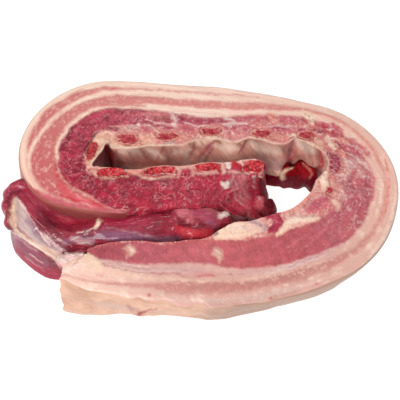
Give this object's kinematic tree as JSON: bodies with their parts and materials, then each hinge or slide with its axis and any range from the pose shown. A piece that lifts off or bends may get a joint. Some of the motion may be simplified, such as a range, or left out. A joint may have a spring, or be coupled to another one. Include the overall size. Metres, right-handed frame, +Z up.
{
  "type": "pork ribs",
  "caption": "Raw rind-on strip of bone-in pork belly ribs, rolled up loosely on its edge: streaky fat and lean in layers, cut rib ends along the inner face and a loose skirt flap.",
  "frame": {"origin": "on the surface that the roll stands on, under the middle of its bounding box", "axes": "+Z up along the roll's axis, out of the upper cut face; X along the long side of the roll; -Y towards the side with the strip's free outer end"},
  "size_m": [0.2604, 0.1696, 0.0504],
  "materials": {
    "outer_fat": "moist cream-pink back fat with the rind outside",
    "pale_lean": "moist pale pink lean streak",
    "seam_fat": "moist pale seam fat",
    "dark_lean": "wet deep red lean with fine marbling",
    "rib_meat": "wet rib meat, gristle and pale inner membrane",
    "rib_bone": "sawn bone, red marrow in a pale rim",
    "skirt_meat": "wet dark red skirt with silvery membrane"
  },
  "bodies": {
    "root": {"rind_fat": "outer_fat", "lean_streak": "pale_lean", "fat_seam": "seam_fat", "deep_lean": "dark_lean", "rib_bed": "rib_meat", "rib_01": "rib_bone", "rib_02": "rib_bone", "rib_03": "rib_bone", "rib_04": "rib_bone", "rib_05": "rib_bone", "rib_06": "rib_bone", "rib_07": "rib_bone", "rib_08": "rib_bone", "rib_09": "rib_bone", "rib_10": "rib_bone", "rib_11": "rib_bone", "skirt_flap": "skirt_meat", "inner_muscle": "dark_lean"}
  },
  "joints": []
}
